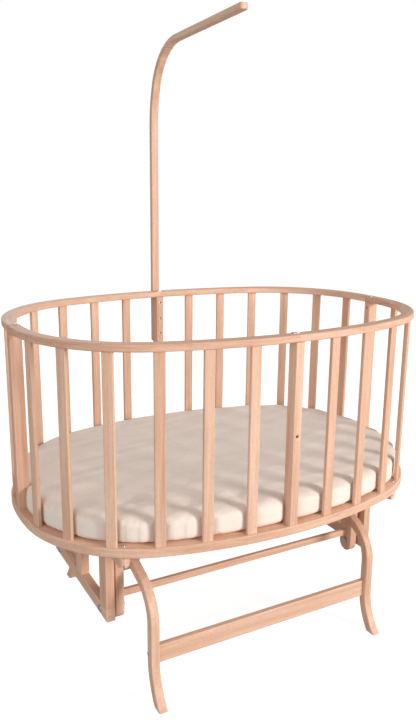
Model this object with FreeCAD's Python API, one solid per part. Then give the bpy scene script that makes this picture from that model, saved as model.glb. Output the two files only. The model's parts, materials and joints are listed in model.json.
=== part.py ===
import FreeCAD, Part
import math
import os

# An oval baby crib that glides from side to side on a stand with four curved legs.
# Lengths are in millimetres. Everything is placed about the middle of the crib, with z = 0 on the
# top face of the bottom ring, and saveNode() moves it to the frame that stands on the floor.

V = FreeCAD.Vector

# The oval: the line that the slats stand on, three arcs to a quarter
halfWidth = 300.0
sideRadius = 908.0
cornerRadius = 245.4
sideTurn = math.radians(16.18)
cornerTurn = math.radians(84.09)

# Crib body
ringHeight = 331.0          # top face of the bottom ring above the floor
ringThickness = 18.0
ringOutside = 8.0           # how far rings and rails stand out from the slat line
ringInside = 62.0
rebateWidth = 10.0
panelThickness = 8.0
panelPlay = 0.2
railBottom = 352.0
railThickness = 14.0
railInside = 16.0
slatsPerQuarter = 6
slatWidth = 20.0
slatThickness = 8.0
postWidth = 18.0
lowerHousing = 8.0          # how deep the slats are let into the ring
upperHousing = 6.0          # how deep the slats are let into the rail
mattressInset = 6.0
mattressThickness = 50.0
mattressLift = 0.3
mattressEdges = (6.0, 9.0)   # rounding of the lower and the upper edge
postNotch = 1.0             # room around each post, where the foam gives way

# Canopy mast: a thin bar bent over the crib
mastWidth = 18.0
mastThickness = 12.0
mastBottom = 236.0
mastStraightTop = 754.0
mastBends = ((273.0, math.radians(20.0)), (118.0, math.radians(88.2)))   # radius, lean at its end
mastReach = -93.0           # y of the arm's tip
mastBoltHeights = (339.0, 299.0, 261.5)
accessoryHoleRadius = 3.25
frontHoleHeight = 177.0
endHoleHeight = 339.0

# Stand, measured along x from the middle of the crib
legInner = 247.0
legThickness = 18.0
endBoardThickness = 12.0
washerThickness = 1.5
slideGap = 0.2              # side play of the swinging links
linkThickness = 18.0
hangerInner = 303.5
hangerThickness = 18.0

legWidth = 19.0
legSlope = math.radians(18.0)
legTopY = 66.0
legKneeY = 234.0            # y of the upright stretch of the leg
legKneeRadius = 75.0
legKneeZ = -175.0
legStraightEnd = -245.0
legFootRadius = 130.0

# Glider: pivots in the yz plane
pivotY = 130.0
upperPivotZ = -90.0
lowerPivotZ = -178.0
pivotBoltRadius = 4.0
pivotPlay = 0.05
linkWidth = 38.0
linkTail = 6.0              # how far the lower end runs on past its pivot
crossBarY = 127.0
crossBarHalf = 5.0
crossBarZ = (-166.0, -151.5)

hangerBarZ = (-191.0, -165.0)
hangerBarHalf = 163.0
hangerRailZ = (-40.0, -18.0)
hangerRailHalf = 241.0
hangerPostWidth = 36.0
ringBoltX = 312.5
ringBoltY = 235.0

stretcherY = (223.5, 235.5)
stretcherZ = (-257.0, -220.0)
stretcherBoltZ = -235.0
endBoardHalf = 149.0
endBoardZ = (-106.0, -50.0)
endBoardArch = 9.0          # rise of the lower edge in the middle

boltHeadHeight = 3.0
nutHeight = 5.5
thinNutHeight = 3.5
plateThickness = 1.2

# Dimensions that follow from the ones above
endRadius = (halfWidth - sideRadius * (1 - math.cos(sideTurn))
             - cornerRadius * (math.cos(sideTurn) - math.cos(cornerTurn))) / math.cos(cornerTurn)
arcs = ((sideRadius, 0.0, sideTurn), (cornerRadius, sideTurn, cornerTurn),
        (endRadius, cornerTurn, math.pi / 2))
quarterLength = sum(radius * (end - start) for radius, start, end in arcs)
railTop = railBottom + railThickness
legOuter = legInner + legThickness
endBoardOuter = legOuter + endBoardThickness
linkInner = endBoardOuter + washerThickness + slideGap
linkOuter = linkInner + linkThickness
hangerOuter = hangerInner + hangerThickness
mastFront = halfWidth + ringOutside
middleY = (mastThickness + boltHeadHeight) / 2      # the mast and its bolts stand out behind only
quarters = {"front_right": (1, 1), "front_left": (-1, 1), "rear_right": (1, -1), "rear_left": (-1, -1)}
ends = {"left": -1, "right": 1}
sides = {"front": 1, "rear": -1}


def saveNode(name, *solids):
    shape = solids[0] if len(solids) == 1 else Part.makeCompound(list(solids))
    shape = shape.copy()
    shape.translate(V(0, -middleY, ringHeight))
    shape.exportStep("parts/" + name + ".step")


def mirrored(shape, alongX, alongY):
    """The shape made in the front right quarter, put in another quarter by its two signs."""
    if alongX < 0:
        shape = shape.mirror(V(0, 0, 0), V(1, 0, 0))
    if alongY < 0:
        shape = shape.mirror(V(0, 0, 0), V(0, 1, 0))
    return shape


def ovalPoint(turn, outward, z):
    """A point of the front right quarter whose outward normal has turned from the front."""
    x, y = 0.0, -halfWidth
    for radius, start, end in arcs:
        reached = min(max(turn, start), end)
        x += radius * (math.sin(reached) - math.sin(start))
        y += radius * (math.cos(start) - math.cos(reached))
    return V(x + outward * math.sin(turn), y - outward * math.cos(turn), z)


def turnAt(distance):
    """The normal's turn after walking a distance along the slat line from the front centre."""
    for radius, start, end in arcs:
        if distance <= radius * (end - start):
            return start + distance / radius
        distance -= radius * (end - start)
    return math.pi / 2


def quarterEdges(outward, z):
    edges = []
    for radius, start, end in arcs:
        points = [ovalPoint(turn, outward, z) for turn in (start, (start + end) / 2, end)]
        edges.append(Part.Arc(*points).toShape())
    return edges


def quarterBand(outside, inside, bottom, height):
    """A quarter of an oval board ring, from the front centre to the right end."""
    edges = quarterEdges(outside, bottom) + quarterEdges(-inside, bottom)
    for turn in (0.0, math.pi / 2):
        line = Part.LineSegment(ovalPoint(turn, outside, bottom), ovalPoint(turn, -inside, bottom))
        edges.append(line.toShape())
    wire = Part.Wire(Part.__sortEdges__(edges))
    return Part.Face(wire).extrude(V(0, 0, height))


def ovalSlab(outward, bottom, height):
    edges = []
    for signs in quarters.values():
        edges += [mirrored(edge, *signs) for edge in quarterEdges(outward, bottom)]
    wire = Part.Wire(Part.__sortEdges__(edges))
    return Part.Face(wire).extrude(V(0, 0, height))


def eased(solid, radius, chosen):
    """The solid with the chosen edges rounded over."""
    return solid.makeFillet(radius, [edge for edge in solid.Edges if chosen(edge)])


def bar(xRange, yRange, zRange, radius, along):
    """A straight wooden bar with its four long edges rounded."""
    low, high = [V(*corner) for corner in zip(xRange, yRange, zRange)]
    size = high - low
    box = Part.makeBox(size.x, size.y, size.z, low)
    return eased(box, radius, lambda edge: abs(edge.tangentAt(edge.FirstParameter)[along]) > 0.9)


def rod(radius, start, direction, length):
    return Part.makeCylinder(radius, length, start, direction)


def upright(width, outside, inside, bottom, top):
    """A slat or post standing at the origin: x along the rail, y towards the inside of the crib."""
    return bar((-width / 2, width / 2), (-outside, inside), (bottom, top), 2.0, 2)


def stoodAt(solid, turn):
    placed = solid.copy()
    placed.rotate(V(0, 0, 0), V(0, 0, 1), math.degrees(turn))
    placed.translate(ovalPoint(turn, 0, 0))
    return placed


def profile(steps, x, thickness):
    """A flat piece cut to an outline in the yz plane. A step is the outline's next point (y, z),
    or the middle point and the end point of an arc."""
    points = [[V(x, *pair) for pair in step] for step in steps]
    edges = []
    last = points[-1][-1]
    for step in points:
        curve = Part.Arc(last, *step) if len(step) == 2 else Part.LineSegment(last, step[0])
        edges.append(curve.toShape())
        last = step[-1]
    return Part.Face(Part.Wire(edges)).extrude(V(thickness, 0, 0))


def onArc(centre, radius, angle):
    return (centre[0] + radius * math.cos(angle), centre[1] + radius * math.sin(angle))


def makeSlats():
    slat = upright(slatWidth, slatThickness / 2, slatThickness / 2, -lowerHousing, railBottom + upperHousing)
    pitch = quarterLength / (slatsPerQuarter + 1)
    placed = [stoodAt(slat, turnAt(number * pitch)) for number in range(1, slatsPerQuarter + 1)]
    return {name: [mirrored(one, *signs) for one in placed] for name, signs in quarters.items()}


def makePosts():
    """Posts stand on the ring, are deeper than they are wide, and are drilled right through."""
    plain = upright(postWidth, ringOutside, railInside, 0.0, railBottom)

    def drilled(heights, radius):
        post = plain
        for height in heights:
            post = post.cut(rod(radius, V(0, -ringOutside - 1, height), V(0, 1, 0), 100))
        return post

    endPost = stoodAt(drilled([endHoleHeight], accessoryHoleRadius), math.pi / 2)
    rearPost = mirrored(stoodAt(drilled(mastBoltHeights, accessoryHoleRadius), 0.0), 1, -1)
    return {
        "front": stoodAt(drilled([frontHoleHeight], accessoryHoleRadius), 0.0),
        "rear": rearPost,
        "right_end": endPost,
        "left_end": mirrored(endPost, -1, 1),
    }


def makeRingQuarter():
    board = quarterBand(ringOutside, ringInside, -ringThickness, ringThickness)
    outerRadii = [radius + ringOutside for radius, start, end in arcs]

    def onOutside(edge):
        circle = isinstance(edge.Curve, Part.Circle)
        return circle and min(abs(edge.Curve.Radius - radius) for radius in outerRadii) < 0.01

    board = eased(board, 2.5, onOutside)
    rebate = quarterBand(-ringInside + rebateWidth, ringInside + 5, -panelThickness, panelThickness + 1)
    return board.cut(rebate)


def makeRailQuarter():
    board = quarterBand(ringOutside, railInside, railBottom, railThickness)
    return eased(board, 3.0, lambda edge: isinstance(edge.Curve, Part.Circle))


def makeMattress():
    slab = ovalSlab(-mattressInset, mattressLift, mattressThickness)
    top = mattressLift + mattressThickness
    slab = eased(slab, mattressEdges[0], lambda edge: edge.BoundBox.ZMax < mattressLift + 1)
    slab = eased(slab, mattressEdges[1], lambda edge: edge.BoundBox.ZMin > top - 1)
    notch = Part.makeBox(postWidth + 2 * postNotch, 60, top + 2,
                         V(-postWidth / 2 - postNotch, railInside + postNotch - 60, -1))
    return cutBy(slab, everyJoint([notch]))


def makeMast():
    """The bar runs up behind the rear post, leans forward through two bends and ends over the crib."""
    front = [(mastFront, mastStraightTop)]
    back = [(mastFront + mastThickness, mastStraightTop)]
    frontSteps, backSteps = [], []
    lean = 0.0
    for radius, endLean in mastBends:
        centre = (front[-1][0] - radius * math.cos(lean), front[-1][1] - radius * math.sin(lean))
        middle = (lean + endLean) / 2
        frontSteps.append((onArc(centre, radius, middle), onArc(centre, radius, endLean)))
        outer = radius + mastThickness
        backSteps.insert(0, (onArc(centre, outer, middle), back[-1]))
        front.append(frontSteps[-1][1])
        back.append(onArc(centre, outer, endLean))
        lean = endLean
    reach = (front[-1][0] - mastReach) / math.sin(lean)
    along = (-reach * math.sin(lean), reach * math.cos(lean))
    tips = [(end[0] + along[0], end[1] + along[1]) for end in (front[-1], back[-1])]
    steps = [((mastFront, mastBottom),), (front[0],)] + frontSteps + [(tips[0],), (tips[1],), (back[-1],)]
    steps += backSteps + [((mastFront + mastThickness, mastBottom),)]
    mast = profile(steps, -mastWidth / 2, mastWidth)

    def crossEdge(edge):
        return edge.Length < mastThickness + 1 and edge.BoundBox.XLength < 0.01

    mast = eased(mast, 6.0, crossEdge)
    sideFaces = (-mastWidth / 2, mastWidth / 2)

    def sideEdge(edge):
        box = edge.BoundBox
        return box.XLength < 0.01 and min(abs(box.XMin - x) for x in sideFaces) < 0.01 and edge.Length > 40

    return eased(mast, 2.0, sideEdge)


def makeLeg():
    """Front right leg: down and outwards from the top, round the knee, upright, then the flared foot."""
    half = legWidth / 2
    floor = -ringHeight
    knee = (-legKneeY + legKneeRadius, legKneeZ)
    foot = (-legKneeY - legFootRadius, legStraightEnd)
    start = math.pi / 2 + legSlope
    sideSteps = {}
    for side in (1, -1):                       # 1 is the front and upper side, -1 the back
        kneeRadius = legKneeRadius + side * half
        footRadius = legFootRadius - side * half
        kneeStart = onArc(knee, kneeRadius, start)
        run = (kneeStart[0] + legTopY) / math.cos(legSlope)
        top = (-legTopY, kneeStart[1] - run * math.sin(legSlope))
        footEnd = -math.asin((legStraightEnd - floor) / footRadius)
        sideSteps[side] = {
            "top": top,
            "kneeStart": kneeStart,
            "kneeMiddle": onArc(knee, kneeRadius, (start + math.pi) / 2),
            "kneeEnd": onArc(knee, kneeRadius, math.pi),
            "footStart": onArc(foot, footRadius, 0.0),
            "footMiddle": onArc(foot, footRadius, footEnd / 2),
            "footEnd": onArc(foot, footRadius, footEnd),
        }
    outer, inner = sideSteps[1], sideSteps[-1]
    steps = [(outer["top"],), (outer["kneeStart"],), (outer["kneeMiddle"], outer["kneeEnd"]),
             (outer["footStart"],), (outer["footMiddle"], outer["footEnd"]),
             (inner["footEnd"],), (inner["footMiddle"], inner["footStart"]),
             (inner["kneeEnd"],), (inner["kneeMiddle"], inner["kneeStart"]), (inner["top"],)]
    leg = profile(steps, legInner, legThickness)

    def longEdge(edge):
        box = edge.BoundBox
        return box.XLength < 0.01 and box.ZMax > floor + 1 and box.YLength + box.ZLength > legWidth + 10

    leg = eased(leg, 2.5, longEdge)
    bore = rod(pivotBoltRadius + pivotPlay, V(legInner - 1, -pivotY, upperPivotZ), V(1, 0, 0), legThickness + 2)
    return leg.cut(bore)


def makeEndBoard():
    low, high = endBoardZ
    steps = [((-endBoardHalf, low),), ((0.0, low + endBoardArch), (endBoardHalf, low)),
             ((endBoardHalf, high),), ((-endBoardHalf, high),)]
    board = profile(steps, legOuter, endBoardThickness)
    board = eased(board, 12.0, lambda edge: edge.BoundBox.XLength > 1)
    for side in (-1, 1):
        start = V(legOuter - 1, side * pivotY, upperPivotZ)
        board = board.cut(rod(pivotBoltRadius + pivotPlay, start, V(1, 0, 0), endBoardThickness + 2))
    return board


def makeLink():
    """Front right link: a straight plate with round ends, bored at both ends."""
    half = linkWidth / 2
    lowEnd = lowerPivotZ - linkTail
    plate = Part.makeBox(linkThickness, linkWidth, upperPivotZ - lowEnd, V(linkInner, -pivotY - half, lowEnd))
    for z in (upperPivotZ, lowEnd):
        plate = plate.fuse(rod(half, V(linkInner, -pivotY, z), V(1, 0, 0), linkThickness))
    plate = eased(plate.removeSplitter(), 2.0, lambda edge: edge.BoundBox.XLength < 0.01)
    for z in (upperPivotZ, lowerPivotZ):
        bore = rod(pivotBoltRadius + pivotPlay, V(linkInner - 1, -pivotY, z), V(1, 0, 0), linkThickness + 2)
        plate = plate.cut(bore)
    return plate


def makeHangerBar():
    beam = bar((hangerInner, hangerOuter), (-hangerBarHalf, hangerBarHalf), hangerBarZ, 2.0, 1)
    for side in (-1, 1):
        start = V(hangerInner - 1, side * pivotY, lowerPivotZ)
        beam = beam.cut(rod(pivotBoltRadius, start, V(1, 0, 0), hangerThickness + 2))
    return beam


def makeHangerRail():
    """The top bar of the hanging frame, with its lower corners rounded off."""
    rail = bar((hangerInner, hangerOuter), (-hangerRailHalf, hangerRailHalf), hangerRailZ, 1.5, 1)

    def lowCorner(edge):
        box = edge.BoundBox
        atEnd = abs(abs(box.YMin) - hangerRailHalf) < 0.01 and box.YLength < 0.01
        return atEnd and box.XLength > 10 and box.ZMax < hangerRailZ[0] + 1

    return eased(rail, 10.0, lowCorner)


def makeHangerPosts():
    offset = hangerBarHalf - hangerPostWidth / 2
    half = hangerPostWidth / 2
    xRange = (hangerInner, hangerOuter)
    zRange = (hangerBarZ[1], hangerRailZ[0])
    middles = {"front": -offset, "middle": 0.0, "rear": offset}
    return {place: bar(xRange, (y - half, y + half), zRange, 2.0, 2) for place, y in middles.items()}


def turnedStack(start, direction, steps):
    """A bolt, nut or screw: a row of coaxial lengths, each a radius and how far it runs."""
    shape = None
    for radius, length in steps:
        piece = rod(radius, start, direction, length)
        shape = piece if shape is None else shape.fuse(piece)
        start = start + direction * length
    return shape.removeSplitter()


def ringWasher(start, thickness, inner, outer):
    disc = rod(outer, start, V(1, 0, 0), thickness)
    return disc.cut(rod(inner, start - V(1, 0, 0), V(1, 0, 0), thickness + 2))


def hexNut(start, height, inner):
    """A six-sided nut on a bolt along x."""
    corners = [V(start.x, start.y + 7.5 * math.cos(math.radians(60 * k)),
                 start.z + 7.5 * math.sin(math.radians(60 * k))) for k in range(7)]
    nut = Part.Face(Part.makePolygon(corners)).extrude(V(height, 0, 0))
    return nut.cut(rod(inner, start - V(1, 0, 0), V(1, 0, 0), height + 2))


def linkPivotSet():
    """Bolt from outside the link, through spacer, end board and leg, with a nut inside the leg."""
    nutStart = legInner - washerThickness - nutHeight
    tip = nutStart - 1.5
    headFoot = linkOuter + slideGap
    at = V(0, -pivotY, upperPivotZ)
    return {
        "link_pivot_bolts": turnedStack(at + V(tip, 0, 0), V(1, 0, 0),
                                        [(pivotBoltRadius, headFoot - tip), (8.0, boltHeadHeight)]),
        "link_pivot_spacers": ringWasher(at + V(endBoardOuter, 0, 0), washerThickness, pivotBoltRadius, 9.0),
        "link_pivot_washers": ringWasher(at + V(legInner - washerThickness, 0, 0), washerThickness,
                                         pivotBoltRadius, 8.5),
        "link_pivot_nuts": hexNut(at + V(nutStart, 0, 0), nutHeight, pivotBoltRadius),
    }


def cribPivotSet():
    """Bolt from outside the hanger bar, through spacer and link, with a nut inside the link."""
    washerStart = linkInner - slideGap - washerThickness
    nutStart = washerStart - thinNutHeight
    tip = nutStart - 0.5
    spacerStart = linkOuter + slideGap
    at = V(0, -pivotY, lowerPivotZ)
    return {
        "crib_pivot_bolts": turnedStack(at + V(tip, 0, 0), V(1, 0, 0),
                                        [(pivotBoltRadius, hangerOuter - tip), (8.0, boltHeadHeight)]),
        "crib_pivot_spacers": ringWasher(at + V(spacerStart, 0, 0), hangerInner - spacerStart,
                                         pivotBoltRadius, 8.0),
        "crib_pivot_washers": ringWasher(at + V(washerStart, 0, 0), washerThickness, pivotBoltRadius, 8.5),
        "crib_pivot_nuts": hexNut(at + V(nutStart, 0, 0), thinNutHeight, pivotBoltRadius),
    }


def stretcherBolt():
    """A bolt through the leg into the stretcher's end, its head let into the leg."""
    start = V(legOuter + 0.6, -sum(stretcherY) / 2, stretcherBoltZ)
    return turnedStack(start, V(-1, 0, 0), [(4.9, boltHeadHeight), (3.0, 58.0)])


def endBoardScrews():
    """Two screws from inside the leg into the end board."""
    return [turnedStack(V(legInner - 1.5, y, z), V(1, 0, 0), [(4.0, 1.5), (2.0, legThickness + 9.0)])
            for y, z in ((-80.0, -70.9), (-108.0, -80.0))]


def jointPlate():
    """A plate over the joint of the rail at the front post."""
    return bar((-8.0, 8.0), (5.5, 14.0), (railTop, railTop + plateThickness), 3.0, 2)


def jointScrews():
    return [turnedStack(V(x, 9.75, railTop + plateThickness + 0.7), V(0, 0, -1), [(2.3, 0.7), (1.4, 12.0)])
            for x in (-4.0, 4.0)]


def mastBolts():
    """Bolts from behind, through the mast and nearly through the rear post."""
    depth = mastThickness + ringOutside + railInside - 3.0
    back = mastFront + mastThickness + boltHeadHeight
    return [turnedStack(V(0, back, height), V(0, -1, 0), [(6.0, boltHeadHeight), (accessoryHoleRadius, depth)])
            for height in mastBoltHeights]


def ringBolt():
    """A bolt down through the ring into the top bar of the hanging frame, in the front right quarter."""
    return turnedStack(V(ringBoltX, -ringBoltY, 2.2), V(0, 0, -1), [(4.2, 2.2), (2.5, ringThickness + 16.0)])


def cutBy(solid, tools):
    return solid.cut(Part.makeCompound(tools))


def everyQuarter(solid):
    return [mirrored(solid, *signs) for signs in quarters.values()]


def everyJoint(solids):
    """Solids made over the front post, put over all four posts."""
    places = ((0.0, (1, 1)), (0.0, (1, -1)), (math.pi / 2, (1, 1)), (math.pi / 2, (-1, 1)))
    return [mirrored(stoodAt(solid, turn), *signs) for turn, signs in places for solid in solids]


os.makedirs("parts", exist_ok=True)

# The fasteners come first, because the wooden pieces are cut to them
posts = makePosts()
slats = makeSlats()
plateScrews = everyJoint(jointScrews())
ringBolts = everyQuarter(ringBolt())
stretcherBolts = everyQuarter(stretcherBolt())
boardScrews = [placed for screw in endBoardScrews() for placed in everyQuarter(screw)]
boltsOfMast = mastBolts()
for pivotSet in (linkPivotSet(), cribPivotSet()):
    for name, solid in pivotSet.items():
        saveNode(name, *everyQuarter(solid))
saveNode("rail_joint_plates", *[cutBy(plate, plateScrews) for plate in everyJoint([jointPlate()])])
saveNode("rail_joint_screws", *plateScrews)
saveNode("ring_bolts", *ringBolts)
saveNode("stretcher_bolts", *stretcherBolts)
saveNode("end_board_screws", *boardScrews)
saveNode("mast_bolts", *boltsOfMast)

# The crib body
for name, signs in quarters.items():
    ring = mirrored(makeRingQuarter(), *signs)
    rail = mirrored(makeRailQuarter(), *signs)
    saveNode("bottom_ring_" + name, cutBy(ring, slats[name] + ringBolts))
    saveNode("top_rail_" + name, cutBy(rail, slats[name] + plateScrews))
    saveNode("slats_" + name, *slats[name])
for name, post in posts.items():
    saveNode("post_" + name, post)
saveNode("base_panel", ovalSlab(rebateWidth - ringInside - panelPlay, -panelThickness, panelThickness))
saveNode("mattress", makeMattress())
saveNode("canopy_mast", cutBy(makeMast(), boltsOfMast))

# The stand and the glider
for name, signs in quarters.items():
    saveNode("leg_" + name, cutBy(mirrored(makeLeg(), *signs), stretcherBolts + boardScrews))
    saveNode("link_" + name, mirrored(makeLink(), *signs))
for name, sign in ends.items():
    saveNode("end_board_" + name, cutBy(mirrored(makeEndBoard(), sign, 1), boardScrews))
    saveNode("hanger_bar_" + name, mirrored(makeHangerBar(), sign, 1))
    saveNode("hanger_top_rail_" + name, cutBy(mirrored(makeHangerRail(), sign, 1), ringBolts))
    for place, post in makeHangerPosts().items():
        saveNode("hanger_post_" + name + "_" + place, mirrored(post, sign, 1))
for name, side in sides.items():
    stretcher = bar((-legInner, legInner), (-stretcherY[1], -stretcherY[0]), stretcherZ, 2.0, 0)
    saveNode("stretcher_" + name, cutBy(mirrored(stretcher, 1, side), stretcherBolts))
    yRange = (-crossBarY - crossBarHalf, -crossBarY + crossBarHalf)
    crossBar = bar((-linkInner, linkInner), yRange, crossBarZ, 2.0, 0)
    saveNode("link_cross_bar_" + name, mirrored(crossBar, 1, side))
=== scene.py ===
import json
import math

import bmesh
import bpy
from mathutils import Matrix, Vector, noise

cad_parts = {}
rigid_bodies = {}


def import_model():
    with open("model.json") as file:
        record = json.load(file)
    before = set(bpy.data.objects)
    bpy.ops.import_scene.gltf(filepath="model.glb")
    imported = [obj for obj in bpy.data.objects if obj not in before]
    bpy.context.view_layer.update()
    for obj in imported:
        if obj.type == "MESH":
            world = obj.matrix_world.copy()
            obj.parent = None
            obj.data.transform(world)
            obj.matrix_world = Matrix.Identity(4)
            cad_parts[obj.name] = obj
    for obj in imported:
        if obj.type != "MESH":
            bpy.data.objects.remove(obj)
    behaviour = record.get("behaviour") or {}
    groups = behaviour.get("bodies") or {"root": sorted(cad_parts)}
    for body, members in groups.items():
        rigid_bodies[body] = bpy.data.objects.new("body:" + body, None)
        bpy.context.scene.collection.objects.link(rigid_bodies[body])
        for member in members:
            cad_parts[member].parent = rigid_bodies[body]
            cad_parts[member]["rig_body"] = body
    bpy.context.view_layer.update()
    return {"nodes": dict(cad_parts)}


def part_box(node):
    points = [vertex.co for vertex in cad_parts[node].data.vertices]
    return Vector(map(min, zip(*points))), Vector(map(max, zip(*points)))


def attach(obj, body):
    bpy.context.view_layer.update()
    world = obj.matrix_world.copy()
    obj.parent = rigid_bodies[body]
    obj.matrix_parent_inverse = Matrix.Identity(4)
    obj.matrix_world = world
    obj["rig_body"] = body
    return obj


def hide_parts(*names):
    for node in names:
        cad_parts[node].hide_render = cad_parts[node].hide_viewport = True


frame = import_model()
nodes = frame["nodes"]
print("crib frame loaded,", len(nodes), "pieces")


# ---- small helpers ----

def addNode(tree, kind, inputs=None, **settings):
    node = tree.nodes.new(kind)
    for key, value in settings.items():
        setattr(node, key, value)
    for key, value in (inputs or {}).items():
        if isinstance(value, bpy.types.NodeSocket):
            tree.links.new(value, node.inputs[key])
        else:
            node.inputs[key].default_value = value
    return node


def calc(tree, operation, first, second=0.0, third=0.0):
    node = addNode(tree, "ShaderNodeMath", {0: first, 1: second, 2: third}, operation=operation)
    return node.outputs[0]


def mixColour(tree, factor, a, b, blend="MIX"):
    node = addNode(tree, "ShaderNodeMix", {0: factor, 6: a, 7: b}, data_type="RGBA", blend_type=blend)
    return node.outputs[2]


def ramp(tree, value, low, high, toLow=0.0, toHigh=1.0):
    inputs = {"Value": value, "From Min": low, "From Max": high, "To Min": toLow, "To Max": toHigh}
    return addNode(tree, "ShaderNodeMapRange", inputs, clamp=True).outputs[0]


def newGroup(name, inputs, outputs):
    group = bpy.data.node_groups.new(name, "ShaderNodeTree")
    for label, kind, value in inputs:
        socket = group.interface.new_socket(label, in_out="INPUT", socket_type=kind)
        if value is not None:
            socket.default_value = value
    for label, kind in outputs:
        group.interface.new_socket(label, in_out="OUTPUT", socket_type=kind)
    start = addNode(group, "NodeGroupInput")
    end = addNode(group, "NodeGroupOutput")
    return group, start.outputs, end.inputs


def newMaterial(name):
    material = bpy.data.materials.new(name)
    material.use_nodes = True
    tree = material.node_tree
    tree.nodes.clear()
    shader = addNode(tree, "ShaderNodeBsdfPrincipled")
    output = addNode(tree, "ShaderNodeOutputMaterial", {"Surface": shader.outputs[0]})
    return material, tree, shader


def paint(names, material):
    for name in names:
        slots = nodes[name].data.materials
        slots.clear()
        slots.append(material)


# ---- effects that several materials share ----

def makeGrainGroup():  # beech: soft streaks along local z, short dark flecks, slow drift of tone
    colour = "NodeSocketColor"
    group, given, out = newGroup(
        "beechGrain",
        [("Vector", "NodeSocketVector", None), ("Pale", colour, (0.8, 0.55, 0.4, 1)),
         ("Deep", colour, (0.6, 0.36, 0.24, 1)), ("Streaks", "NodeSocketFloat", 0.5),
         ("Flecks", "NodeSocketFloat", 0.4)],
        [("Color", colour), ("Roughness", "NodeSocketFloat"), ("Height", "NodeSocketFloat")])

    def stretched(scale, detail, roughness=0.55):
        moved = addNode(group, "ShaderNodeMapping", {"Vector": given["Vector"], "Scale": scale})
        inputs = {"Vector": moved.outputs[0], "Scale": 1.0, "Detail": detail, "Roughness": roughness}
        return addNode(group, "ShaderNodeTexNoise", inputs).outputs[0]

    bands = stretched((95, 95, 4.0), 3.0)          # growth rings, about a centimetre apart
    fibres = stretched((620, 620, 14.0), 3.0)
    flecks = stretched((1100, 1100, 130.0), 1.0)   # the rays of beech
    drift = stretched((6.0, 6.0, 1.1), 1.0)
    deep = calc(group, "MULTIPLY_ADD", ramp(group, bands, 0.35, 0.7), 0.55,
                calc(group, "MULTIPLY", ramp(group, fibres, 0.3, 0.72), 0.45))
    deep = calc(group, "MULTIPLY", deep, given["Streaks"])
    deep = calc(group, "ADD", deep, ramp(group, drift, 0.35, 0.65, -0.18, 0.22))
    wood = mixColour(group, addNode(group, "ShaderNodeClamp", {0: deep}).outputs[0], given["Pale"], given["Deep"])
    fleck = calc(group, "MULTIPLY", ramp(group, flecks, 0.6, 0.72), given["Flecks"])
    wood = mixColour(group, fleck, wood, given["Deep"])
    group.links.new(wood, out["Color"])
    group.links.new(ramp(group, fibres, 0.3, 0.7, 0.42, 0.56), out["Roughness"])
    rise = calc(group, "MULTIPLY_ADD", fibres, 0.7, calc(group, "MULTIPLY", fleck, -0.5))
    group.links.new(rise, out["Height"])
    return group


def makeEdgeGroup():  # a mask along the rounded edges, where hands polish the wood and the metal
    group, given, out = newGroup(
        "edgeWear", [("Radius", "NodeSocketFloat", 0.002), ("Amount", "NodeSocketFloat", 1.0)],
        [("Edge", "NodeSocketFloat")])
    bevel = addNode(group, "ShaderNodeBevel", {"Radius": given["Radius"]}, samples=4)
    flat = addNode(group, "ShaderNodeNewGeometry")
    dot = addNode(group, "ShaderNodeVectorMath", {0: bevel.outputs[0], 1: flat.outputs["Normal"]},
                  operation="DOT_PRODUCT")
    edge = ramp(group, dot.outputs["Value"], 0.995, 0.86)
    group.links.new(calc(group, "MULTIPLY", edge, given["Amount"]), out["Edge"])
    return group


def makeOvalGroup():  # turns places on the oval rings into (across, up, along the ring)
    group, given, out = newGroup(
        "alongTheOval",
        [("Vector", "NodeSocketVector", None), ("Half Length", "NodeSocketFloat", 0.43),
         ("Half Width", "NodeSocketFloat", 0.3)],
        [("Vector", "NodeSocketVector")])
    part = addNode(group, "ShaderNodeSeparateXYZ", {0: given["Vector"]}).outputs
    x = calc(group, "DIVIDE", part["X"], given["Half Length"])
    y = calc(group, "DIVIDE", part["Y"], given["Half Width"])
    square = calc(group, "ADD", calc(group, "MULTIPLY", x, x), calc(group, "MULTIPLY", y, y))
    across = calc(group, "MULTIPLY", calc(group, "SQRT", square), 0.36)
    along = calc(group, "MULTIPLY", calc(group, "ARCTAN2", y, x), 0.38)
    board = calc(group, "MULTIPLY_ADD", calc(group, "SIGN", part["X"]), 3.1,
                 calc(group, "MULTIPLY", calc(group, "SIGN", part["Y"]), 5.3))   # four boards, four grains
    joined = addNode(group, "ShaderNodeCombineXYZ",
                     {"X": across, "Y": part["Z"], "Z": calc(group, "ADD", along, board)})
    group.links.new(joined.outputs[0], out["Vector"])
    return group


def makeWeaveGroup():  # plain cotton weave: threads along all three axes, so every side shows a cross of two
    group, given, out = newGroup(
        "cottonWeave", [("Vector", "NodeSocketVector", None), ("Thread", "NodeSocketFloat", 0.0007)],
        [("Height", "NodeSocketFloat"), ("Slub", "NodeSocketFloat")])
    count = calc(group, "DIVIDE", math.tau, given["Thread"])
    part = addNode(group, "ShaderNodeSeparateXYZ", {0: given["Vector"]}).outputs
    waves = [calc(group, "SINE", calc(group, "MULTIPLY", part[axis], count)) for axis in "XYZ"]
    weave = calc(group, "ADD", calc(group, "ADD", waves[0], waves[1]), waves[2])
    slub = addNode(group, "ShaderNodeTexNoise", {"Vector": given["Vector"], "Scale": 240.0, "Detail": 3.0})
    group.links.new(calc(group, "MULTIPLY_ADD", weave, 0.16, 0.5), out["Height"])
    group.links.new(slub.outputs[0], out["Slub"])
    return group


grainGroup = makeGrainGroup()
edgeGroup = makeEdgeGroup()
ovalGroup = makeOvalGroup()
weaveGroup = makeWeaveGroup()
print("shared effects ready")


# ---- beech ----

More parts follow.
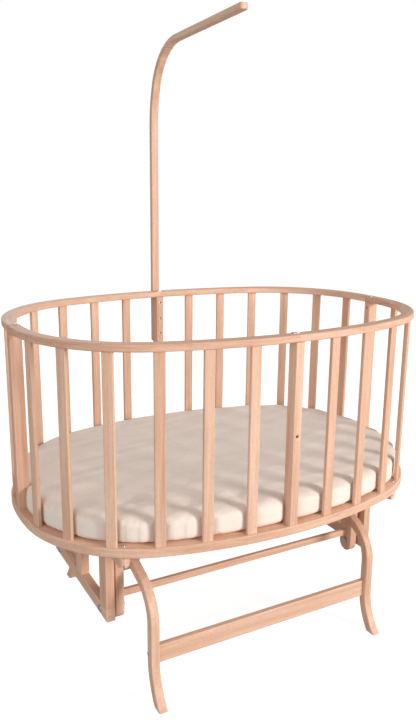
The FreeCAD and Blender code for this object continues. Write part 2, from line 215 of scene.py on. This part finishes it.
beech = {
    "pale": (0.88, 0.59, 0.43, 1),
    "deep": (0.60, 0.31, 0.195, 1),
    "worn": (0.88, 0.64, 0.49, 1),
    "streaks": 0.85,
    "flecks": 0.6,
    "edgeRadius": 0.0025,
    "edgeWear": 0.4,
    "bump": 0.12,
    "bend": (1.225, 1.25),   # heights between which the mast's grain turns over
}
grainTurns = {  # how each kind of piece lies: the turn that brings its grain onto z
    "beechUpright": (0, 0, 0),
    "beechAlongX": (0, math.radians(90), 0),
    "beechAlongY": (math.radians(90), 0, 0),
}


def makeBeech(name, turn=None, bent=False):
    material, tree, shader = newMaterial(name)
    place = addNode(tree, "ShaderNodeTexCoord").outputs["Object"]
    if bent:           # the laminate's grain runs up the mast, round the bend and along the arm
        height = addNode(tree, "ShaderNodeSeparateXYZ", {0: place}).outputs["Z"]
        arm = addNode(tree, "ShaderNodeMapping", {"Vector": place, "Rotation": grainTurns["beechAlongY"]}).outputs[0]
        over = ramp(tree, height, *beech["bend"])
        place = addNode(tree, "ShaderNodeMix", {0: over, 4: place, 5: arm}, data_type="VECTOR").outputs[1]
    elif turn is None:
        place = addNode(tree, "ShaderNodeGroup", {0: place}, node_tree=ovalGroup).outputs[0]
    else:
        place = addNode(tree, "ShaderNodeMapping", {"Vector": place, "Rotation": turn}).outputs[0]
    grain = addNode(tree, "ShaderNodeGroup", node_tree=grainGroup)
    for key in ("pale", "deep", "streaks", "flecks"):
        grain.inputs[key.capitalize()].default_value = beech[key]
    tree.links.new(place, grain.inputs["Vector"])
    edge = addNode(tree, "ShaderNodeGroup", node_tree=edgeGroup)
    edge.inputs["Radius"].default_value = beech["edgeRadius"]
    edge.inputs["Amount"].default_value = beech["edgeWear"]
    colour = mixColour(tree, edge.outputs[0], grain.outputs["Color"], beech["worn"])
    bump = addNode(tree, "ShaderNodeBump", {"Height": grain.outputs["Height"], "Strength": beech["bump"],
                                            "Distance": 0.0004})
    tree.links.new(colour, shader.inputs["Base Color"])
    tree.links.new(grain.outputs["Roughness"], shader.inputs["Roughness"])
    tree.links.new(bump.outputs[0], shader.inputs["Normal"])
    shader.inputs["Specular IOR Level"].default_value = 0.35
    return material


beechUpright = makeBeech("beechUpright", grainTurns["beechUpright"])
beechAlongX = makeBeech("beechAlongX", grainTurns["beechAlongX"])
beechAlongY = makeBeech("beechAlongY", grainTurns["beechAlongY"])
beechOval = makeBeech("beechOval")
beechMast = makeBeech("beechMast", bent=True)

kinds = (
    (("slats_", "post_", "leg_", "link_front", "link_rear", "hanger_post"), beechUpright),
    (("stretcher_front", "stretcher_rear", "link_cross"), beechAlongX),
    (("hanger_bar", "hanger_top", "end_board_left", "end_board_right"), beechAlongY),
    (("top_rail", "bottom_ring"), beechOval),
    (("canopy_mast",), beechMast),
)
for starts, material in kinds:
    paint([name for name in nodes if name.startswith(starts)], material)
print("beech laid on the wooden pieces")


# ---- plywood base ----

plywood = {
    "pale": (0.74, 0.54, 0.37, 1),
    "deep": (0.55, 0.36, 0.22, 1),
    "streaks": 0.8,
    "flecks": 0.3,
    "pair": 0.0032,          # thickness of a light and a dark ply together
}


def makePlywood():
    material, tree, shader = newMaterial("beechPlywood")
    place = addNode(tree, "ShaderNodeTexCoord").outputs["Object"]
    turned = addNode(tree, "ShaderNodeMapping", {"Vector": place, "Rotation": (0, math.radians(90), 0)})
    grain = addNode(tree, "ShaderNodeGroup", {0: turned.outputs[0]}, node_tree=grainGroup)
    for key in ("pale", "deep", "streaks", "flecks"):
        grain.inputs[key.capitalize()].default_value = plywood[key]
    height = addNode(tree, "ShaderNodeSeparateXYZ", {0: place}).outputs["Z"]
    plies = calc(tree, "SINE", calc(tree, "MULTIPLY", height, math.tau / plywood["pair"]))
    rim = addNode(tree, "ShaderNodeSeparateXYZ", {0: addNode(tree, "ShaderNodeNewGeometry").outputs["Normal"]})
    side = ramp(tree, calc(tree, "ABSOLUTE", rim.outputs["Z"]), 0.6, 0.2)     # the plies show on the rim only
    dark = calc(tree, "MULTIPLY", ramp(tree, plies, -0.1, 0.2), calc(tree, "MULTIPLY", side, 0.5))
    tree.links.new(mixColour(tree, dark, grain.outputs["Color"], plywood["deep"]), shader.inputs["Base Color"])
    tree.links.new(grain.outputs["Roughness"], shader.inputs["Roughness"])
    bump = addNode(tree, "ShaderNodeBump", {"Height": grain.outputs["Height"], "Strength": 0.15,
                                            "Distance": 0.0004})
    tree.links.new(bump.outputs[0], shader.inputs["Normal"])
    return material


paint(["base_panel"], makePlywood())


# ---- zinc plated steel ----

steel = {
    "bright": (0.72, 0.72, 0.74, 1),
    "dull": (0.50, 0.50, 0.52, 1),
    "rubbed": (0.82, 0.82, 0.83, 1),
    "edgeRadius": 0.0006,
}


def makeSteel():
    material, tree, shader = newMaterial("zincSteel")
    place = addNode(tree, "ShaderNodeTexCoord").outputs["Object"]
    cloud = addNode(tree, "ShaderNodeTexNoise", {"Vector": place, "Scale": 260.0, "Detail": 4.0}).outputs[0]
    turning = addNode(tree, "ShaderNodeTexNoise", {"Vector": place, "Scale": 1500.0, "Detail": 2.0}).outputs[0]
    edge = addNode(tree, "ShaderNodeGroup", node_tree=edgeGroup)
    edge.inputs["Radius"].default_value = steel["edgeRadius"]
    edge.inputs["Amount"].default_value = 0.7
    colour = mixColour(tree, ramp(tree, cloud, 0.35, 0.65), steel["bright"], steel["dull"])
    colour = mixColour(tree, edge.outputs[0], colour, steel["rubbed"])
    tree.links.new(colour, shader.inputs["Base Color"])
    tree.links.new(ramp(tree, cloud, 0.3, 0.7, 0.26, 0.44), shader.inputs["Roughness"])
    bump = addNode(tree, "ShaderNodeBump", {"Height": turning, "Strength": 0.08, "Distance": 0.0002})
    tree.links.new(bump.outputs[0], shader.inputs["Normal"])
    shader.inputs["Metallic"].default_value = 1.0
    return material


def solidsOf(name):  # the vertex places of each separate solid in a piece
    bm = bmesh.new()
    bm.from_mesh(nodes[name].data)
    bmesh.ops.remove_doubles(bm, verts=bm.verts, dist=1e-5)
    left, found = set(bm.verts), []
    while left:
        island, queue = [], [left.pop()]
        while queue:
            vert = queue.pop()
            island.append(vert.co.copy())
            near = {edge.other_vert(vert) for edge in vert.link_edges} & left
            left -= near
            queue.extend(near)
        found.append(island)
    bm.free()
    return found


def finishSteel(bm, name, node):
    mesh = bpy.data.meshes.new(name)
    bm.to_mesh(mesh)
    bm.free()
    mesh.shade_smooth()
    mesh.set_sharp_from_angle(angle=sharpAngle)
    mesh.materials.append(zincSteel)
    obj = bpy.data.objects.new(name, mesh)
    bpy.context.scene.collection.objects.link(obj)
    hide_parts(node)
    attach(obj, nodes[node]["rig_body"])


boltShape = {
    "socket": 0.46,          # share of the head's radius
    "socketDepth": 0.75,     # share of the head's height
    "steps": 24,
    "chamfer": 0.0007,
}
sharpAngle = math.radians(32)


def boltFacts(points):  # where a bolt's head ends, which way it faces, and its sizes
    low = Vector([min(point[axis] for point in points) for axis in range(3)])
    high = Vector([max(point[axis] for point in points) for axis in range(3)])
    size, middle = high - low, (low + high) / 2
    axis = max(range(3), key=lambda index: size[index])

    def widest(level):
        near = [point for point in points if abs(point[axis] - level) < 1e-5]
        flat = [point - middle for point in near]
        for offset in flat:
            offset[axis] = 0
        return max(offset.length for offset in flat)

    top, tip = sorted((low[axis], high[axis]), key=widest, reverse=True)
    facing = Vector((0, 0, 0))
    facing[axis] = 1 if top > tip else -1
    levels = sorted({round(abs(point[axis] - top), 6) for point in points})
    seat = middle.copy()
    seat[axis] = top - facing[axis] * levels[1]
    return {"seat": seat, "facing": facing, "head": widest(top), "height": levels[1],
            "shank": widest(tip), "length": abs(top - tip) - levels[1]}


def makeBolts(node, name):  # domed heads with a hexagon socket, and a chamfered tip
    whole = bmesh.new()
    for points in solidsOf(node):
        fact = boltFacts(points)
        wide, high, thin, long = fact["head"], fact["height"], fact["shank"], fact["length"]
        socket, floor = wide * boltShape["socket"], high * (1 - boltShape["socketDepth"])
        chamfer = min(boltShape["chamfer"], thin * 0.4)
        profile = [(0, -long), (thin - chamfer, -long), (thin, chamfer - long), (thin, 0), (wide, 0),
                   (wide, high * 0.35), (wide * 0.95, high * 0.66), (wide * 0.82, high * 0.9),
                   (wide * 0.66, high), (socket, high), (socket, floor), (0, floor)]
        bm = bmesh.new()
        verts = [bm.verts.new((radius, 0, level)) for radius, level in profile]
        edges = [bm.edges.new(pair) for pair in zip(verts, verts[1:])]
        bmesh.ops.spin(bm, geom=verts + edges, cent=(0, 0, 0), axis=(0, 0, 1), angle=math.tau,
                       steps=boltShape["steps"], use_merge=True)
        bmesh.ops.remove_doubles(bm, verts=bm.verts, dist=1e-6)
        for vert in bm.verts:
            if abs(vert.co.xy.length - socket) < 1e-6:     # round the socket's ring into a hexagon
                turn = math.atan2(vert.co.y, vert.co.x) % (math.pi / 3) - math.pi / 6
                vert.co.xy *= math.cos(math.pi / 6) / math.cos(turn)
        bmesh.ops.recalc_face_normals(bm, faces=bm.faces)
        place = Matrix.Translation(fact["seat"]) @ fact["facing"].to_track_quat("Z", "Y").to_matrix().to_4x4()
        bmesh.ops.transform(bm, matrix=place, verts=bm.verts)
        part = bpy.data.meshes.new("part")
        bm.to_mesh(part)
        bm.free()
        whole.from_mesh(part)
        bpy.data.meshes.remove(part)
    finishSteel(whole, name, node)


def makeNuts(node, name):  # hexagon nuts with chamfered corners
    whole = bmesh.new()
    for points in solidsOf(node):
        low = Vector([min(point[axis] for point in points) for axis in range(3)])
        high = Vector([max(point[axis] for point in points) for axis in range(3)])
        size = high - low
        place = Matrix.Translation((low + high) / 2) @ Matrix.Rotation(math.radians(90), 4, "Y")
        made = bmesh.ops.create_cone(whole, cap_ends=True, segments=6, radius1=size.y / 2, radius2=size.y / 2,
                                     depth=size.x, matrix=place @ Matrix.Rotation(math.radians(90), 4, "Z"))
        rims = {edge for vert in made["verts"] for edge in vert.link_edges
                if abs(edge.verts[0].co.x - edge.verts[1].co.x) < 1e-6}
        bmesh.ops.bevel(whole, geom=list(rims), offset=size.x * 0.14, offset_type="OFFSET", affect="EDGES",
                        segments=2, profile=0.5, material=-1)
    finishSteel(whole, name, node)


zincSteel = makeSteel()
paint([name for name in nodes if name.endswith(("bolts", "nuts", "washers", "spacers", "plates", "screws"))],
      zincSteel)
for node, name in (("link_pivot_bolts", "linkPivotBolts"), ("crib_pivot_bolts", "cribPivotBolts"),
                   ("stretcher_bolts", "stretcherBolts"), ("ring_bolts", "ringBolts"), ("mast_bolts", "mastBolts"),
                   ("rail_joint_screws", "railJointScrews"), ("end_board_screws", "endBoardScrews")):
    makeBolts(node, name)
makeNuts("link_pivot_nuts", "linkPivotNuts")
makeNuts("crib_pivot_nuts", "cribPivotNuts")
print("steel laid on the fasteners")


# ---- mattress with its fitted sheet ----

sheetCloth = {
    "cream": (0.95, 0.83, 0.735, 1),
    "shade": (0.86, 0.72, 0.62, 1),
    "thread": 0.0008,
    "sheen": 0.25,
}
mattress = {
    "voxel": 0.006,
    "shrink": (0.996, 0.994, 0.98),
    "pressure": 2.0,
    "steps": 20,
    "cap": 0.002,            # how far a point may move as it swells
    "press": 0.007,          # how far it stands out between two uprights
    "pinch": 0.014,          # distance from an upright's middle where it begins to stand out
    "reach": 0.030,          # distance at which it stands out in full
    "bottomEase": 0.2,       # shares of the height over which the bay grows and fades
    "topEase": 0.12,
    "rumple": 0.0032,        # height of the long folds on top
    "sideCrease": 0.0011,
    "fill": 0.8,
}
gathers = (  # small tucks near the front edge: x, y, depth, radius
    (-0.075, -0.236, 0.0080, 0.026),
    (-0.165, -0.222, 0.0070, 0.030),
    (0.045, -0.240, 0.0045, 0.024),
    (-0.270, -0.172, 0.0055, 0.034),
)


def makeCotton():
    material, tree, shader = newMaterial("creamCotton")
    place = addNode(tree, "ShaderNodeTexCoord").outputs["Object"]
    weave = addNode(tree, "ShaderNodeGroup", {0: place}, node_tree=weaveGroup)
    weave.inputs["Thread"].default_value = sheetCloth["thread"]
    cloud = addNode(tree, "ShaderNodeTexNoise", {"Vector": place, "Scale": 9.0, "Detail": 4.0}).outputs[0]
    tone = calc(tree, "MULTIPLY_ADD", ramp(tree, weave.outputs["Slub"], 0.3, 0.7), 0.3,
                ramp(tree, cloud, 0.3, 0.7, 0.0, 0.35))
    tree.links.new(mixColour(tree, tone, sheetCloth["cream"], sheetCloth["shade"]), shader.inputs["Base Color"])
    tree.links.new(ramp(tree, weave.outputs["Slub"], 0.2, 0.8, 0.82, 0.95), shader.inputs["Roughness"])
    bump = addNode(tree, "ShaderNodeBump", {"Height": weave.outputs["Height"], "Strength": 0.35,
                                            "Distance": 0.0004})
    creases = addNode(tree, "ShaderNodeTexNoise", {"Vector": place, "Scale": 26.0, "Detail": 4.0,
                                                   "Distortion": 0.8}).outputs[0]
    crumple = addNode(tree, "ShaderNodeBump", {"Height": creases, "Strength": 0.3, "Distance": 0.004,
                                               "Normal": bump.outputs[0]})
    tree.links.new(crumple.outputs[0], shader.inputs["Normal"])
    shader.inputs["Sheen Weight"].default_value = sheetCloth["sheen"]
    shader.inputs["Sheen Roughness"].default_value = 0.5
    return material


def settle(obj):  # what the modifiers made becomes the mesh
    bpy.context.view_layer.update()
    shape = bpy.data.meshes.new_from_object(obj.evaluated_get(bpy.context.evaluated_depsgraph_get()))
    obj.modifiers.clear()
    obj.data = shape


def uprightPlaces():  # the middle of every slat and post, as seen from above
    solids = [solid for name in nodes if name.startswith(("slats_", "post_")) for solid in solidsOf(name)]
    return [(sum(solid, Vector()) / len(solid)).xy for solid in solids]


def swell(obj):  # the foam pushes the sheet out
    cloth = obj.modifiers.new("Cloth", "CLOTH")
    cloth.settings.use_pressure = True
    cloth.settings.uniform_pressure_force = mattress["pressure"]
    cloth.settings.tension_stiffness = 12
    cloth.settings.compression_stiffness = 12
    cloth.settings.bending_stiffness = 0.6
    cloth.settings.effector_weights.gravity = 0
    cloth.point_cache.frame_start = 1
    cloth.point_cache.frame_end = mattress["steps"]
    rest = [vert.co.copy() for vert in obj.data.vertices]
    for step in range(1, mattress["steps"] + 1):
        bpy.context.scene.frame_set(step)
    settle(obj)
    bpy.context.scene.frame_set(1)
    for vert, start in zip(obj.data.vertices, rest):
        move = vert.co - start
        if move.length > mattress["cap"]:
            vert.co = start + move * (mattress["cap"] / move.length)


def rumpleHeight(x, y):  # long soft folds that fan out from the left end, calmer to the right
    calm = 1 / (1 + math.exp((x + 0.02) * 9)) + 0.6 / (1 + math.exp((0.27 - x) * 16))
    fan = y * (1 - 0.5 * abs(x)) - 0.16 * x
    folds = noise.noise(Vector((x * 3.1, fan * 21.0, 0.7)))
    fine = noise.noise(Vector((x * 7.0 + 4.0, fan * 46.0, 2.3)))
    broad = noise.noise(Vector((x * 4.0, y * 6.0, 5.1)))
    return (1 - abs(folds) * 2.2) * (0.35 + 0.65 * calm) + 0.35 * fine * (0.3 + calm) + 0.8 * broad


def gatherDepth(x, y):
    total = 0.0
    for gx, gy, depth, radius in gathers:
        away = math.hypot(x - gx, y - gy)
        if away < radius * 3:
            turn = math.atan2(y - gy, x - gx)
            creases = 0.75 + 0.25 * math.cos(turn * 5 + gx * 40)
            total += depth * creases * math.exp(-(away / radius) ** 2 * 1.6)
    return total


def dressMattress(obj, low, high, uprights):
    for vert in obj.data.vertices:
        x, y, z = vert.co
        up = (z - low.z) / (high.z - low.z)
        normal = vert.normal
        outward = Vector((normal.x, normal.y, 0))
        sideways = min(1.0, 2.6 * (1 - abs(normal.z)))
        nearest = min(math.hypot(x - place.x, y - place.y) for place in uprights) if sideways else 1.0
        between = (nearest - mattress["pinch"]) / (mattress["reach"] - mattress["pinch"])
        between = min(1.0, max(0.0, between))
        belly = min(1.0, up / mattress["bottomEase"], (1.02 - up) / mattress["topEase"])
        stand = mattress["press"] * math.sqrt(between) * max(0.0, belly)
        crease = noise.noise(Vector((x * 30, y * 30, z * 18))) * mattress["sideCrease"]
        vert.co += outward * sideways * (stand + crease)
        top = max(0.0, normal.z - 0.25) / 0.75
        if top:
            vert.co.z += top * (mattress["rumple"] * (rumpleHeight(x, y) - 0.4) - gatherDepth(x, y))
        vert.co.z = max(vert.co.z, low.z)


def makeMattress():
    low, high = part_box("mattress")
    middle = (low + high) / 2
    bm = bmesh.new()
    bm.from_mesh(nodes["mattress"].data)
    bmesh.ops.remove_doubles(bm, verts=bm.verts, dist=1e-5)
    bmesh.ops.scale(bm, vec=mattress["shrink"], space=Matrix.Translation(-middle), verts=bm.verts)
    mesh = bpy.data.meshes.new("sheetedMattress")
    bm.to_mesh(mesh)
    bm.free()
    obj = bpy.data.objects.new("sheetedMattress", mesh)
    bpy.context.scene.collection.objects.link(obj)
    remesh = obj.modifiers.new("Remesh", "REMESH")
    remesh.mode = "VOXEL"
    remesh.voxel_size = mattress["voxel"]
    settle(obj)
    swell(obj)
    dressMattress(obj, low, high, uprightPlaces())
    subdivision = obj.modifiers.new("Subdivision", "SUBSURF")
    subdivision.levels = subdivision.render_levels = 1
    settle(obj)
    obj.data.shade_smooth()
    obj.data.materials.clear()
    obj.data.materials.append(makeCotton())
    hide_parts("mattress")
    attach(obj, "cradle")
    return obj


makeMattress()
print("mattress swollen and dressed")


# ---- floor, light and camera ----

stage = {
    "floor": (0.5, 0.5, 0.5, 1),
    "floorGlow": 0.78,
    "backdrop": 1.0,
    "ambient": 0.42,
}
lights = {
    "key": {"at": (1.9, -3.3, 1.45), "power": 112, "size": 1.1, "colour": (1.0, 0.985, 0.965)},
    "fill": {"at": (-3.2, -1.8, 1.5), "power": 34, "size": 2.4, "colour": (0.97, 0.985, 1.0)},
    "back": {"at": (0.6, 3.4, 2.0), "power": 24, "size": 2.4, "colour": (1.0, 1.0, 1.0)},
}
camera = {
    "at": (-0.7318, -1.3116, 0.9441),
    "turn": 28.68,       # degrees from +Y towards +X
    "down": 13.52,
    "roll": 0.59,
    "lens": 35.57,       # for a picture 36 mm high
}


def makeFloor():
    bm = bmesh.new()
    bmesh.ops.create_grid(bm, x_segments=1, y_segments=1, size=30)
    mesh = bpy.data.meshes.new("floor")
    bm.to_mesh(mesh)
    bm.free()
    floor = bpy.data.objects.new("floor", mesh)
    bpy.context.scene.collection.objects.link(floor)
    material, tree, shader = newMaterial("paleFloor")
    shader.inputs["Base Color"].default_value = stage["floor"]
    shader.inputs["Roughness"].default_value = 0.9
    shader.inputs["Emission Color"].default_value = (1, 1, 1, 1)
    path = addNode(tree, "ShaderNodeLightPath")    # the floor looks white but throws little light up
    tree.links.new(calc(tree, "MULTIPLY", path.outputs["Is Camera Ray"], stage["floorGlow"]),
                   shader.inputs["Emission Strength"])
    mesh.materials.append(material)


def makeWorld():
    world = bpy.data.worlds.new("studio")
    world.use_nodes = True
    tree = world.node_tree
    tree.nodes.clear()
    seen = addNode(tree, "ShaderNodeBackground", {"Color": (1, 1, 1, 1), "Strength": stage["backdrop"]})
    glow = addNode(tree, "ShaderNodeBackground", {"Color": (1, 1, 1, 1), "Strength": stage["ambient"]})
    path = addNode(tree, "ShaderNodeLightPath")
    both = addNode(tree, "ShaderNodeMixShader",
                   {0: path.outputs["Is Camera Ray"], 1: glow.outputs[0], 2: seen.outputs[0]})
    addNode(tree, "ShaderNodeOutputWorld", {"Surface": both.outputs[0]})
    bpy.context.scene.world = world


def makeLights():
    for name, light in lights.items():
        data = bpy.data.lights.new(name, "AREA")
        data.shape = "SQUARE"
        data.size = light["size"]
        data.energy = light["power"]
        data.color = light["colour"]
        lamp = bpy.data.objects.new(name, data)
        lamp.location = light["at"]
        lamp.rotation_euler = (Vector((0, 0, 0.5)) - lamp.location).to_track_quat("-Z", "Y").to_euler()
        bpy.context.scene.collection.objects.link(lamp)


def makeCamera():
    data = bpy.data.cameras.new("camera")
    data.sensor_fit = "VERTICAL"
    data.sensor_height = 36
    data.lens = camera["lens"]
    eye = bpy.data.objects.new("camera", data)
    turn = Matrix.Rotation(-math.radians(camera["turn"]), 4, "Z")
    down = Matrix.Rotation(math.radians(90 - camera["down"]), 4, "X")
    roll = Matrix.Rotation(math.radians(camera["roll"]), 4, "Z")
    eye.matrix_world = Matrix.Translation(camera["at"]) @ turn @ down @ roll
    bpy.context.scene.collection.objects.link(eye)
    bpy.context.scene.camera = eye


makeFloor()
makeWorld()
makeLights()
makeCamera()
bpy.context.scene.view_settings.view_transform = "Standard"
print("stage set")
